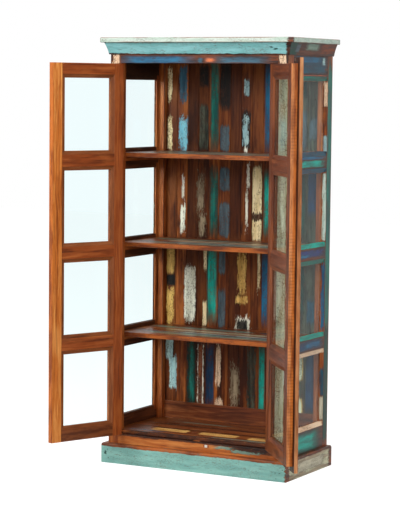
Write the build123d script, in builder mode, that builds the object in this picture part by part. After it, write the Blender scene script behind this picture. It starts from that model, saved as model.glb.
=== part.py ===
# Two-door glazed display cabinet in reclaimed wood: a post-and-rail case with four panes in
# each side, a planked back, three shelves, a crowned top, a plinth, and two framed glass doors
# on butt hinges. Millimetres, +Z up, front towards -Y. The origin is on the floor, at the
# centre of the case's footprint. The doors are made closed and then swung to their open rest.
import os

from build123d import *

os.makedirs("parts", exist_ok=True)

# Overall sizes
total_height = 1800.0
case_width = 828.0
case_depth = 425.0

# Case frame
post_width = 48.0
post_depth = 47.0
edge_round = 1.5
top_thickness = 21.0
top_side_overhang = 32.0
top_front_overhang = 34.0
top_edge_round = 3.0
crown_height = 49.0
crown_foot_throw = 5.0
crown_top_throw = 20.6
crown_foot_step = 4.0
crown_cove_depth = 1.5
crown_foot_flare = 1.0
mitre_reach = 40.0
frieze_thickness = 22.0
opening_low = 124.0
opening_high = 1694.0
bottom_rail_low = 30.0
side_thickness = 20.0

# Plinth
plinth_height = 85.0
plinth_thickness = 22.0
plinth_round = 9.0
bearer_width = 30.0

# Back
back_gap = 25.0
back_board_thickness = 12.0
back_board_count = 14
back_board_gap = 0.8
back_board_inset = 3.0
back_rail_thickness = 20.0
back_bottom_rail_high = 215.0
back_top_rail_low = 1700.0
groove_depth = 8.0
groove_gap = 0.3
batten_height = 60.0
batten_thickness = 9.0
batten_levels = (740.0, 1225.0)

# Floor and shelves
floor_top = 141.0
floor_thickness = 15.0
floor_door_gap = 1.0
shelf_tops = {"lower": 556.0, "middle": 940.0, "upper": 1319.0}
shelf_thickness = 19.0
shelf_edge_width = 42.0
shelf_plank_count = 3
plank_gap = 0.6
board_gap = 0.5
cleat_size = 18.0
cleat_end_gap = 6.0

# Frames with four panes, which share their levels on the doors and the case sides
pane_count = 4
first_hole_low = 177.0
last_hole_high = 1645.0
mid_rail_height = 51.3
side_lip_width = 18.0
side_bead_width = 20.0
glass_thickness = 4.0
glass_edge_gap = 1.5
mitre_gap = 0.2
tenon_length = 22.0
tenon_thickness = 8.0
tenon_shoulder = 6.0
tenon_gap = 0.15
side_bead_depth = 10.0
side_bead_edge = 2.5

# Doors
door_thickness = 25.0
door_proud = 1.0
door_end_gap = 2.5
door_hinge_gap = 2.4
door_meeting_gap = 3.0
stile_width = 48.0
door_lip_width = 13.0
door_bead_width = 15.0
door_bead_depth = 8.0
door_bead_edge = 2.5
left_open_angle = 112.5
right_open_angle = 129.3

# Overlap strip on the right door
strip_overlap = 22.0
strip_width = 87.0
strip_thickness = 17.5
strip_round = 5.0
strip_end_past_door = 23.5
strip_relief = 0.8

# Magnet catches on the frieze and the bottom rail
catch_x = 57.0
catch_from_opening = 13.0
catch_plate_width = 26.0
catch_plate_height = 11.0
catch_plate_thickness = 1.2
catch_plate_round = 3.0
catch_magnet_radius = 4.5
catch_magnet_height = 1.5
catch_pocket_margin = 1.0
catch_pocket_depth = 3.0
strike_plate_thickness = 1.0

# Butt hinges
hinge_height = 75.0
hinge_end_distance = 150.0
hinge_leaf_thickness = 1.5
hinge_leaf_width = 22.5
hinge_leaf_mortise = 0.5
hinge_pin_set_out = 4.0
knuckle_count = 5
knuckle_radius = 3.4
knuckle_gap = 0.4
pin_radius = 1.9
pin_running_gap = 0.05
pin_head_radius = 2.8
pin_head_height = 1.5
leaf_front_gap = 0.5
knuckle_root = 1.0
screw_radius = 1.6
screw_gap = 0.04
screw_length = 14.0
screw_head_radius = 3.0
screw_head_height = 0.9
screw_pitch = 25.0
screw_stagger = 3.5

# How far cuts run past the faces they open
cut_past = 1.0

# Levels and planes worked out from the sizes above
half_width = case_width / 2
front_y = -case_depth / 2
rear_y = case_depth / 2
post_top = total_height - top_thickness
crown_low = post_top - crown_height
opening_half = half_width - post_width
front_post_back = front_y + post_depth
rear_post_front = rear_y - post_depth
side_inner = half_width - side_thickness
back_face = rear_y - back_gap
door_front = front_y - door_proud
door_back = door_front + door_thickness
door_low = opening_low + door_end_gap
door_high = opening_high - door_end_gap
door_hinge_edge = opening_half - door_hinge_gap
door_free_edge = door_meeting_gap / 2
stile_inner = door_hinge_edge - stile_width
free_stile_inner = door_free_edge + stile_width
pin_x = opening_half - door_hinge_gap / 2
pin_y = door_front - hinge_pin_set_out
hole_height = (last_hole_high - first_hole_low - (pane_count - 1) * mid_rail_height) / pane_count
hole_lows = [first_hole_low + i * (hole_height + mid_rail_height) for i in range(pane_count)]
holes = [(low, low + hole_height) for low in hole_lows]
mid_rails = [(holes[i][1], holes[i + 1][0]) for i in range(pane_count - 1)]
door_lip_thickness = door_thickness - door_bead_depth - glass_thickness
side_lip_thickness = side_thickness - side_bead_depth - glass_thickness
knuckle_height = hinge_height / knuckle_count
hinge_levels = (door_low + hinge_end_distance, (door_low + door_high) / 2,
                door_high - hinge_end_distance)
catch_levels = (opening_low - catch_from_opening, opening_high + catch_from_opening)


def board(x, y, z, mode=Mode.ADD):
    """Adds one squared board, given its three (from, to) spans, to the open sub-part."""
    x, y, z = sorted(x), sorted(y), sorted(z)
    with Locations(((x[0] + x[1]) / 2, (y[0] + y[1]) / 2, (z[0] + z[1]) / 2)):
        Box(x[1] - x[0], y[1] - y[0], z[1] - z[0], mode=mode)


def round_bar(centre, radius, length, along, mode=Mode.ADD):
    """Adds a round bar from its end centre, running along the axis named x or z."""
    turn = (0, 90, 0) if along == "x" else (0, 0, 0)
    shift = length / 2
    middle = (centre[0] + shift, centre[1], centre[2]) if along == "x" else (
        centre[0], centre[1], centre[2] + shift)
    with Locations(Location(middle, turn)):
        Cylinder(radius, abs(length), mode=mode)


def save(piece, node):
    """Names a finished piece and writes it under that name."""
    piece.label = node
    export_step(piece, f"parts/{node}.step")


def gather(pieces):
    """Groups separate solids without joining them."""
    return Compound(children=[solid for piece in pieces for solid in piece.solids()])


def swing(piece, side):
    """Turns a door piece from closed to its open rest about the pin line of its side."""
    angle = -left_open_angle if side < 0 else right_open_angle
    return piece.rotate(Axis((side * pin_x, pin_y, 0), (0, 0, 1)), angle)


def mitred_bead(long_side, width, depth, edge_height):
    """One sloped glazing bead, lying along X from the corner of its hole, face up."""
    with BuildPart() as bead:
        with BuildSketch(Plane.YZ):
            Polygon((0, 0), (width, 0), (width, edge_height), (0, depth), align=None)
        extrude(amount=long_side)
        with BuildSketch(Plane.XY):
            Polygon((mitre_gap, 0), (long_side - mitre_gap, 0),
                    (long_side - mitre_gap - width, width),
                    (mitre_gap + width, width), align=None)
        extrude(amount=depth, mode=Mode.INTERSECT)
    return bead.part


def bead_ring(hole_width, height, width, depth, edge_height):
    """The four beads round one pane, centred on the origin, with their flat backs on XY."""
    flat = mitred_bead(hole_width, width, depth, edge_height)
    upright = mitred_bead(height, width, depth, edge_height)
    ring = []
    for quarter, bead in enumerate((flat, upright, flat, upright)):
        across = height if quarter % 2 == 0 else hole_width
        along = hole_width if quarter % 2 == 0 else height
        ring.append(Rot(0, 0, 90 * quarter) * Pos(-along / 2, -across / 2, 0) * bead)
    return ring


# Top board, with its front and side edges rounded over
with BuildPart() as top_board:
    board((-half_width - top_side_overhang, half_width + top_side_overhang),
          (front_y - top_front_overhang, rear_y), (post_top, total_height))
    outer = top_board.edges().filter_by(Axis.Y) + top_board.edges().filter_by(
        Axis.X).group_by(Axis.Y)[0]
    fillet(outer, radius=top_edge_round)
save(top_board.part, "top_board")


def crown_section(side):
    """The crown's section in (outward, up) pairs, on the side of an axis given by its sign."""
    with BuildSketch(Plane.XY) as section:
        with BuildLine():
            foot = (side * (crown_foot_throw + crown_foot_flare), crown_low + crown_foot_step)
            head = (side * crown_top_throw, post_top)
            Polyline(head, (0, post_top), (0, crown_low), (side * crown_foot_throw, crown_low), foot)
            SagittaArc(foot, head, side * crown_cove_depth)
        make_face()
    return section.sketch


front_mitre = [(-half_width, front_y), (half_width, front_y),
               (half_width + mitre_reach, front_y - mitre_reach),
               (-half_width - mitre_reach, front_y - mitre_reach)]


def side_mitre(side):
    """The plan outline that a side moulding keeps: mitred at the front, square at the rear."""
    outline = [(half_width, front_y), (half_width + mitre_reach, front_y - mitre_reach),
               (half_width + mitre_reach, rear_y), (half_width, rear_y)]
    return [(side * x, y) for x, y in outline]


# Crown mouldings, mitred where they meet at the front corners
with BuildPart() as crown_front:
    run = Plane(origin=(-half_width - mitre_reach, front_y, 0), x_dir=(0, 1, 0), z_dir=(1, 0, 0))
    extrude(to_extrude=run * crown_section(-1), amount=case_width + 2 * mitre_reach)
    with BuildSketch(Plane.XY.offset(crown_low)):
        Polygon(*front_mitre, align=None)
    extrude(amount=crown_height, mode=Mode.INTERSECT)
save(crown_front.part, "crown_front")

for side, name in ((-1, "left"), (1, "right")):
    with BuildPart() as crown_side:
        run = Plane(origin=(side * half_width, rear_y, 0), x_dir=(1, 0, 0), z_dir=(0, -1, 0))
        extrude(to_extrude=run * crown_section(side), amount=case_depth + mitre_reach)
        with BuildSketch(Plane.XY.offset(crown_low)):
            Polygon(*side_mitre(side), align=None)
        extrude(amount=crown_height, mode=Mode.INTERSECT)
    save(crown_side.part, f"crown_{name}")

# Plinth boards, rounded over at the top and mitred at the front corners
with BuildPart() as plinth_front:
    board((-half_width - mitre_reach, half_width + mitre_reach),
          (front_y - plinth_thickness, front_y), (0, plinth_height))
    fillet(plinth_front.edges().filter_by(Axis.X).group_by(Axis.Z)[-1].sort_by(Axis.Y)[0],
           radius=plinth_round)
    with BuildSketch(Plane.XY):
        Polygon(*front_mitre, align=None)
    extrude(amount=plinth_height, mode=Mode.INTERSECT)
save(plinth_front.part, "plinth_front")

for side, name in ((-1, "left"), (1, "right")):
    with BuildPart() as plinth_side:
        board((side * half_width, side * (half_width + plinth_thickness)),
              (front_y - mitre_reach, rear_y), (0, plinth_height))
        long_tops = plinth_side.edges().filter_by(Axis.Y).group_by(Axis.Z)[-1]
        fillet(long_tops.sort_by(Axis.X)[-1 if side > 0 else 0], radius=plinth_round)
        with BuildSketch(Plane.XY):
            Polygon(*side_mitre(side), align=None)
        extrude(amount=plinth_height, mode=Mode.INTERSECT)
    save(plinth_side.part, f"plinth_{name}")


def rail_tenon(x, y, z, gap=0.0, mode=Mode.ADD):
    """One rail tenon, or with a gap and Mode.SUBTRACT the mortise that takes it."""
    board((min(x) - gap, max(x) + gap), (min(y) - gap, max(y) + gap),
          (min(z) - gap, max(z) + gap), mode=mode)


def tenon_height(span):
    """The levels of a tenon on a rail with the given levels."""
    return (span[0] + tenon_shoulder, span[1] - tenon_shoulder)


side_rail_spans = [(bottom_rail_low, first_hole_low)] + mid_rails + [(last_hole_high, post_top)]
side_middle = half_width - side_thickness / 2
side_tenon_x = (side_middle - tenon_thickness / 2, side_middle + tenon_thickness / 2)
front_rail_y = (front_y + frieze_thickness / 2 - tenon_thickness / 2,
                front_y + frieze_thickness / 2 + tenon_thickness / 2)
back_rail_middle = back_face + back_rail_thickness / 2
back_rail_y = (back_rail_middle - tenon_thickness / 2, back_rail_middle + tenon_thickness / 2)
front_rail_spans = [(bottom_rail_low, opening_low), (opening_high, post_top)]
back_rail_spans = [(bottom_rail_low, back_bottom_rail_high), (back_top_rail_low, post_top)]
half_tenon = tenon_length / 2
lip_root = 2 * edge_round
side_lip_x = (side_inner, side_inner + side_lip_thickness)

# Corner posts: square posts with the glass lips of the sides, mortises for the rails, and
# seats for the hinge leaves in the front pair
for side, name in ((-1, "left"), (1, "right")):
    post_x = (side * opening_half, side * half_width)
    for place, post_y, lip_from, into in (("front", (front_y, front_post_back), front_post_back, 1),
                                          ("rear", (rear_post_front, rear_y), rear_post_front, -1)):
        with BuildPart() as post:
            board(post_x, post_y, (0, post_top))
            fillet(post.edges().filter_by(Axis.Z), radius=edge_round)
            for low, high in holes:
                board((side * side_lip_x[0], side * side_lip_x[1]),
                      (lip_from - into * lip_root, lip_from + into * side_lip_width), (low, high))
            for span in side_rail_spans:
                rail_tenon((side * side_tenon_x[0], side * side_tenon_x[1]),
                           (lip_from, lip_from - into * half_tenon), tenon_height(span),
                           gap=tenon_gap, mode=Mode.SUBTRACT)
            cross_y = front_rail_y if place == "front" else back_rail_y
            cross_spans = front_rail_spans if place == "front" else back_rail_spans
            for span in cross_spans:
                rail_tenon((side * opening_half, side * (opening_half + half_tenon)), cross_y,
                           tenon_height(span), gap=tenon_gap, mode=Mode.SUBTRACT)
            if place == "front":
                for level in hinge_levels:
                    board((side * (opening_half - cut_past), side * (opening_half + hinge_leaf_mortise)),
                          (front_y - cut_past, door_front + leaf_front_gap + hinge_leaf_width),
                          (level - hinge_height / 2, level + hinge_height / 2), mode=Mode.SUBTRACT)
                    for step in (-1, 0, 1):
                        spot = (side * opening_half,
                                door_front + leaf_front_gap + hinge_leaf_width / 2
                                + screw_stagger * (step % 2 * 2 - 1), level + step * screw_pitch)
                        round_bar(spot, screw_radius + screw_gap, side * (screw_length + cut_past),
                                  "x", mode=Mode.SUBTRACT)
        save(post.part, f"{place}_post_{name}")

# Front cross rails: the frieze over the doors and the bottom rail under them
for node, span in (("bottom_rail", front_rail_spans[0]), ("frieze_rail", front_rail_spans[1])):
    with BuildPart() as cross_rail:
        board((-opening_half, opening_half), (front_y, front_y + frieze_thickness), span)
        fillet(cross_rail.edges().filter_by(Axis.X), radius=edge_round)
        for side in (-1, 1):
            rail_tenon((side * opening_half, side * (opening_half + half_tenon)), front_rail_y,
                       tenon_height(span))
    save(cross_rail.part, node)

# Back cross rails, grooved for the ends of the back boards
board_front = back_face + back_board_inset
board_y = (board_front, board_front + back_board_thickness)
board_z = (back_bottom_rail_high - groove_depth, back_top_rail_low + groove_depth)
for node, span in (("back_bottom_rail", back_rail_spans[0]), ("back_top_rail", back_rail_spans[1])):
    with BuildPart() as back_rail:
        board((-opening_half, opening_half), (back_face, back_face + back_rail_thickness), span)
        for side in (-1, 1):
            rail_tenon((side * opening_half, side * (opening_half + half_tenon)), back_rail_y,
                       tenon_height(span))
        board((-opening_half, opening_half), (board_y[0] - groove_gap, board_y[1] + groove_gap),
              (board_z[0] - groove_gap, board_z[1] + groove_gap), mode=Mode.SUBTRACT)
    save(back_rail.part, node)

# Back boards, upright and side by side, and the battens that tie them behind
board_pitch = 2 * opening_half / back_board_count
back_boards = []
for i in range(back_board_count):
    with BuildPart() as back_board:
        left_edge = -opening_half + i * board_pitch
        board((left_edge + back_board_gap / 2, left_edge + board_pitch - back_board_gap / 2),
              board_y, board_z)
        fillet(back_board.edges().filter_by(Axis.Z), radius=edge_round)
    back_boards.append(back_board.part)
save(gather(back_boards), "back_boards")

battens = []
for level in batten_levels:
    with BuildPart() as batten:
        board((-opening_half + board_gap, opening_half - board_gap),
              (board_y[1], board_y[1] + batten_thickness),
              (level - batten_height / 2, level + batten_height / 2))
    battens.append(batten.part)
save(gather(battens), "back_battens")

# Side rails, with the lips that the glass lies against
for side, name in ((-1, "left"), (1, "right")):
    rails = []
    for i, span in enumerate(side_rail_spans):
        with BuildPart() as side_rail:
            board((side * side_inner, side * half_width), (front_post_back, rear_post_front), span)
            fillet(side_rail.edges().filter_by(Axis.Y), radius=edge_round)
            lip_x = (side * side_lip_x[0], side * side_lip_x[1])
            lip_y = (front_post_back + side_lip_width + tenon_gap,
                     rear_post_front - side_lip_width - tenon_gap)
            if i > 0:
                board(lip_x, lip_y, (span[0] + lip_root, span[0] - side_lip_width))
            if i < pane_count:
                board(lip_x, lip_y, (span[1] - lip_root, span[1] + side_lip_width))
            for start, into in ((front_post_back, -1), (rear_post_front, 1)):
                rail_tenon((side * side_tenon_x[0], side * side_tenon_x[1]),
                           (start, start + into * half_tenon), tenon_height(span))
        rails.append(side_rail.part)
    save(rails[0], f"side_bottom_rail_{name}")
    save(gather(rails[1:-1]), f"side_mid_rails_{name}")
    save(rails[-1], f"side_top_rail_{name}")

# Side panes and the sloped beads that hold them from outside
side_hole_width = rear_post_front - front_post_back
side_hole_middle = (rear_post_front + front_post_back) / 2
for side, name in ((-1, "left"), (1, "right")):
    panes = []
    beads = []
    glass_x = side_inner + side_lip_thickness
    for low, high in holes:
        with BuildPart() as pane:
            board((side * glass_x, side * (glass_x + glass_thickness)),
                  (front_post_back + glass_edge_gap, rear_post_front - glass_edge_gap),
                  (low + glass_edge_gap, high - glass_edge_gap))
        panes.append(pane.part)
        outward = Plane(origin=(side * (glass_x + glass_thickness), side_hole_middle,
                                (low + high) / 2), x_dir=(0, side, 0), z_dir=(side, 0, 0))
        for bead in bead_ring(side_hole_width, high - low, side_bead_width, side_bead_depth,
                              side_bead_edge):
            beads.append(outward.location * bead)
    save(gather(panes), f"side_glass_{name}")
    save(gather(beads), f"side_beads_{name}")

# Floor boards: a front board between the posts, wide boards behind it and a rear filler
floor_z = (floor_top - floor_thickness, floor_top)
inner_half = side_inner - board_gap
between_half = opening_half - board_gap
floor_front = door_back + floor_door_gap
floor_wide_front = front_post_back + board_gap
floor_wide_back = rear_post_front - board_gap
floor_boards = []
with BuildPart() as front_floor_board:
    board((-between_half, between_half), (floor_front, floor_wide_front - plank_gap), floor_z)
    fillet(front_floor_board.edges().filter_by(Axis.X).group_by(Axis.Z)[-1], radius=edge_round)
floor_boards.append(front_floor_board.part)
floor_plank_width = (floor_wide_back - floor_wide_front) / shelf_plank_count
for i in range(shelf_plank_count):
    with BuildPart() as floor_plank:
        start = floor_wide_front + i * floor_plank_width
        board((-inner_half, inner_half), (start, start + floor_plank_width - plank_gap), floor_z)
        fillet(floor_plank.edges().filter_by(Axis.X).group_by(Axis.Z)[-1], radius=edge_round / 2)
    floor_boards.append(floor_plank.part)
with BuildPart() as rear_floor_board:
    board((-between_half, between_half), (floor_wide_back, back_face - board_gap), floor_z)
floor_boards.append(rear_floor_board.part)
save(gather(floor_boards), "floor_boards")

# Centre bearer, from the floor of the room to the underside of the floor boards
with BuildPart() as centre_bearer:
    board((-bearer_width / 2, bearer_width / 2),
          (front_y + frieze_thickness + board_gap, back_face - board_gap), (0, floor_z[0]))
save(centre_bearer.part, "centre_bearer")

# Shelves: a front edge board, three planks behind it and a rear filler between the posts
for name, top in shelf_tops.items():
    shelf_z = (top - shelf_thickness, top)
    shelf_boards = []
    with BuildPart() as edge_board:
        board((-inner_half, inner_half),
              (floor_wide_front, floor_wide_front + shelf_edge_width - plank_gap), shelf_z)
        fillet(edge_board.edges().filter_by(Axis.X).group_by(Axis.Y)[0], radius=edge_round)
    shelf_boards.append(edge_board.part)
    planks_from = floor_wide_front + shelf_edge_width
    shelf_plank_width = (floor_wide_back - planks_from) / shelf_plank_count
    for i in range(shelf_plank_count):
        with BuildPart() as shelf_plank:
            start = planks_from + i * shelf_plank_width
            board((-inner_half, inner_half), (start, start + shelf_plank_width - plank_gap),
                  shelf_z)
            fillet(shelf_plank.edges().filter_by(Axis.X).group_by(Axis.Z)[-1],
                   radius=edge_round / 2)
        shelf_boards.append(shelf_plank.part)
    with BuildPart() as rear_shelf_board:
        board((-between_half, between_half), (floor_wide_back, back_face - board_gap), shelf_z)
    shelf_boards.append(rear_shelf_board.part)
    save(gather(shelf_boards), f"shelf_{name}")

# Cleats on the side rails, under the shelves and the floor boards
cleats = []
for side in (-1, 1):
    for under in [top - shelf_thickness for top in shelf_tops.values()] + [floor_z[0]]:
        with BuildPart() as cleat:
            board((side * (side_inner - cleat_size), side * side_inner),
                  (front_post_back + cleat_end_gap, rear_post_front - cleat_end_gap),
                  (under - cleat_size, under))
        cleats.append(cleat.part)
save(gather(cleats), "shelf_cleats")


def door_frame_parts(side):
    """Stiles and rails of one door, closed: hinge stile, free stile, bottom, mids and top."""
    hinge_x = (side * door_hinge_edge, side * stile_inner)
    free_x = (side * door_free_edge, side * free_stile_inner)
    lip_y = (door_front, door_front + door_lip_thickness)
    door_middle = (door_front + door_back) / 2
    tenon_y = (door_middle - tenon_thickness / 2, door_middle + tenon_thickness / 2)
    spans = [(door_low, first_hole_low)] + mid_rails + [(last_hole_high, door_high)]
    made = []
    for stile_x, inner_x, into in ((hinge_x, stile_inner, -1), (free_x, free_stile_inner, 1)):
        with BuildPart() as stile:
            board(stile_x, (door_front, door_back), (door_low, door_high))
            fillet(stile.edges().filter_by(Axis.Z), radius=edge_round)
            for low, high in holes:
                board((side * (inner_x - into * lip_root), side * (inner_x + into * door_lip_width)),
                      lip_y, (low, high))
            for span in spans:
                rail_tenon((side * inner_x, side * (inner_x - into * tenon_length)), tenon_y,
                           tenon_height(span), gap=tenon_gap, mode=Mode.SUBTRACT)
            if into < 0:
                for level in hinge_levels:
                    board((side * (door_hinge_edge + cut_past),
                           side * (door_hinge_edge - hinge_leaf_mortise)),
                          (door_front - cut_past, door_front + leaf_front_gap + hinge_leaf_width),
                          (level - hinge_height / 2, level + hinge_height / 2), mode=Mode.SUBTRACT)
                    for step in (-1, 0, 1):
                        spot = (side * door_hinge_edge,
                                door_front + leaf_front_gap + hinge_leaf_width / 2
                                - screw_stagger * (step % 2 * 2 - 1), level + step * screw_pitch)
                        round_bar(spot, screw_radius + screw_gap, -side * (screw_length + cut_past),
                                  "x", mode=Mode.SUBTRACT)
        made.append(stile.part)
    rails = []
    for i, span in enumerate(spans):
        with BuildPart() as rail:
            board((side * free_stile_inner, side * stile_inner), (door_front, door_back), span)
            fillet(rail.edges().filter_by(Axis.X), radius=edge_round)
            lip_x = (side * (free_stile_inner + door_lip_width + tenon_gap),
                     side * (stile_inner - door_lip_width - tenon_gap))
            if i > 0:
                board(lip_x, lip_y, (span[0] + lip_root, span[0] - door_lip_width))
            if i < pane_count:
                board(lip_x, lip_y, (span[1] - lip_root, span[1] + door_lip_width))
            for start, into in ((free_stile_inner, -1), (stile_inner, 1)):
                rail_tenon((side * start, side * (start + into * tenon_length)), tenon_y,
                           tenon_height(span))
        rails.append(rail.part)
    return made + [rails[0], gather(rails[1:-1]), rails[-1]]


def door_glazing(side):
    """The panes of one door and the sloped beads that hold them from inside, closed."""
    glass_front = door_front + door_lip_thickness
    hole_width = stile_inner - free_stile_inner
    middle_x = side * (stile_inner + free_stile_inner) / 2
    panes = []
    beads = []
    for low, high in holes:
        with BuildPart() as pane:
            board((side * (free_stile_inner + glass_edge_gap), side * (stile_inner - glass_edge_gap)),
                  (glass_front, glass_front + glass_thickness),
                  (low + glass_edge_gap, high - glass_edge_gap))
        panes.append(pane.part)
        inward = Plane(origin=(middle_x, glass_front + glass_thickness, (low + high) / 2),
                       x_dir=(-1, 0, 0), z_dir=(0, 1, 0))
        for bead in bead_ring(hole_width, high - low, door_bead_width, door_bead_depth,
                              door_bead_edge):
            beads.append(inward.location * bead)
    return gather(panes), gather(beads)


def hinge_leaf(side, level, own):
    """One butt-hinge leaf, closed: own is 0 for the case's knuckles and 1 for the door's."""
    low = level - hinge_height / 2
    plate_near = pin_x + (door_hinge_gap / 2 + hinge_leaf_mortise - hinge_leaf_thickness) * (
        1 if own == 0 else -1)
    plate_far = plate_near + hinge_leaf_thickness * (1 if own == 0 else -1)
    plate_x = (side * plate_near, side * plate_far)
    plate_y = (door_front + leaf_front_gap, door_front + leaf_front_gap + hinge_leaf_width)
    with BuildPart() as leaf:
        board(plate_x, plate_y, (low, low + hinge_height))
        for i in range(own, knuckle_count, 2):
            knuckle_z = (low + i * knuckle_height + knuckle_gap / 2,
                         low + (i + 1) * knuckle_height - knuckle_gap / 2)
            board(plate_x, (pin_y, plate_y[0] + knuckle_root), knuckle_z)
            round_bar((side * pin_x, pin_y, knuckle_z[0]), knuckle_radius,
                      knuckle_z[1] - knuckle_z[0], "z")
        round_bar((side * pin_x, pin_y, low - cut_past), pin_radius + pin_running_gap,
                  hinge_height + 2 * cut_past, "z", mode=Mode.SUBTRACT)
        out = side if own == 0 else -side
        for step in (-1, 0, 1):
            stagger = screw_stagger * (step % 2 * 2 - 1) * (1 if own == 0 else -1)
            spot = (side * plate_near, plate_y[0] + hinge_leaf_width / 2 + stagger,
                    level + step * screw_pitch)
            round_bar(spot, screw_radius + screw_gap, out * (hinge_leaf_thickness + cut_past), "x",
                      mode=Mode.SUBTRACT)
            round_bar(spot, screw_head_radius + screw_gap, out * screw_head_height, "x",
                      mode=Mode.SUBTRACT)
    return leaf.part


def hinge_screws(side, level, own):
    """The three screws of one leaf, closed, their heads flush with the leaf."""
    plate_near = pin_x + (door_hinge_gap / 2 + hinge_leaf_mortise - hinge_leaf_thickness) * (
        1 if own == 0 else -1)
    out = side if own == 0 else -side
    screws = []
    for step in (-1, 0, 1):
        stagger = screw_stagger * (step % 2 * 2 - 1) * (1 if own == 0 else -1)
        spot = (side * plate_near, door_front + leaf_front_gap + hinge_leaf_width / 2 + stagger,
                level + step * screw_pitch)
        with BuildPart() as screw:
            round_bar(spot, screw_radius, out * screw_length, "x")
            round_bar(spot, screw_head_radius, out * screw_head_height, "x")
        screws.append(screw.part)
    return screws


# Hinge pins, which stay in the case's knuckles
pins = []
for side in (-1, 1):
    for level in hinge_levels:
        with BuildPart() as pin:
            pin_low = level - hinge_height / 2
            round_bar((side * pin_x, pin_y, pin_low), pin_radius, hinge_height, "z")
            round_bar((side * pin_x, pin_y, pin_low + hinge_height), pin_head_radius,
                      pin_head_height, "z")
        pins.append(pin.part)
save(gather(pins), "hinge_pins")

sides = ((-1, "left"), (1, "right"))
save(gather([hinge_leaf(side, level, 0) for side, name in sides for level in hinge_levels]),
     "case_hinge_leaves")
save(gather([screw for side, name in sides for level in hinge_levels
             for screw in hinge_screws(side, level, 0)]), "case_hinge_screws")

# Doors
door_nodes = ("hinge_stile", "free_stile", "bottom_rail", "mid_rails", "top_rail")
for side, name in sides:
    for piece, node in zip(door_frame_parts(side), door_nodes):
        save(swing(piece, side), f"{name}_door_{node}")
    glass, beads = door_glazing(side)
    save(swing(glass, side), f"{name}_door_glass")
    save(swing(beads, side), f"{name}_door_beads")
    leaves = gather([hinge_leaf(side, level, 1) for level in hinge_levels])
    save(swing(leaves, side), f"{name}_door_hinge_leaves")
    screws = gather([screw for level in hinge_levels for screw in hinge_screws(side, level, 1)])
    save(swing(screws, side), f"{name}_door_hinge_screws")

# Overlap strip on the right door's outer face, which covers the meeting gap and the catches
pocket_half_width = catch_plate_width / 2 + catch_pocket_margin
pocket_half_height = catch_plate_height / 2 + catch_pocket_margin
strip_x = (door_free_edge - strip_overlap, door_free_edge - strip_overlap + strip_width)
with BuildPart() as overlap_strip:
    board(strip_x, (door_front - strip_thickness, door_front),
          (door_low - strip_end_past_door, door_high + strip_end_past_door))
    front_edges = overlap_strip.faces().sort_by(Axis.Y)[0].edges()
    fillet(front_edges, radius=strip_round)
    board((strip_x[0] - cut_past, door_free_edge), (door_front - strip_relief, door_front + cut_past),
          (0, total_height), mode=Mode.SUBTRACT)
    for level in catch_levels:
        board((catch_x - pocket_half_width, catch_x + pocket_half_width),
              (door_front - catch_pocket_depth, door_front + cut_past),
              (level - pocket_half_height, level + pocket_half_height), mode=Mode.SUBTRACT)
save(swing(overlap_strip.part, 1), "overlap_strip")

# Strike plates in the strip's pockets
strikes = []
for level in catch_levels:
    with BuildPart() as strike:
        board((catch_x - catch_plate_width / 2, catch_x + catch_plate_width / 2),
              (door_front - catch_pocket_depth,
               door_front - catch_pocket_depth + strike_plate_thickness),
              (level - catch_plate_height / 2, level + catch_plate_height / 2))
    strikes.append(strike.part)
save(swing(gather(strikes), 1), "strike_plates")

# Magnet catches: a plate with a round magnet standing out of it
catches = []
for level in catch_levels:
    with BuildPart() as catch:
        board((catch_x - catch_plate_width / 2, catch_x + catch_plate_width / 2),
              (front_y - catch_plate_thickness, front_y),
              (level - catch_plate_height / 2, level + catch_plate_height / 2))
        fillet(catch.edges().filter_by(Axis.Y), radius=catch_plate_round)
        with Locations(Location((catch_x, front_y - catch_plate_thickness
                                 - catch_magnet_height / 2, level), (90, 0, 0))):
            Cylinder(catch_magnet_radius, catch_magnet_height)
    catches.append(catch.part)
save(gather(catches), "magnet_catches")
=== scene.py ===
import math
import bpy
import numpy as np
from mathutils import Matrix, Vector


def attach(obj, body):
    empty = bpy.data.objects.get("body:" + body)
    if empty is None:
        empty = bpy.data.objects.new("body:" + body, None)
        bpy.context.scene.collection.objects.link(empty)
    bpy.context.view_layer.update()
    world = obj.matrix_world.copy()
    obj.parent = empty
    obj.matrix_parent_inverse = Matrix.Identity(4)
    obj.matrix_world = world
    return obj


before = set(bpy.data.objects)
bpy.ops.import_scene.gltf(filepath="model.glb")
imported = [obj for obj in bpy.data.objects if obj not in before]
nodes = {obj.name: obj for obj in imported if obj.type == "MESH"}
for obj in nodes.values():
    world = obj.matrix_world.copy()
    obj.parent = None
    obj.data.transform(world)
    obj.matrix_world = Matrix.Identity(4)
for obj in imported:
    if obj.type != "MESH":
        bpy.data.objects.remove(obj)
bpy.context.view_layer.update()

print("frame loaded:", len(nodes), "pieces")


# sRGB levels from 0 to 255 turned into the linear colour that shaders use
def ink(r, g, b):
    parts = [v / 255 for v in (r, g, b)]
    return tuple(v / 12.92 if v <= 0.04045 else ((v + 0.055) / 1.055) ** 2.4
                 for v in parts) + (1.0,)


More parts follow.
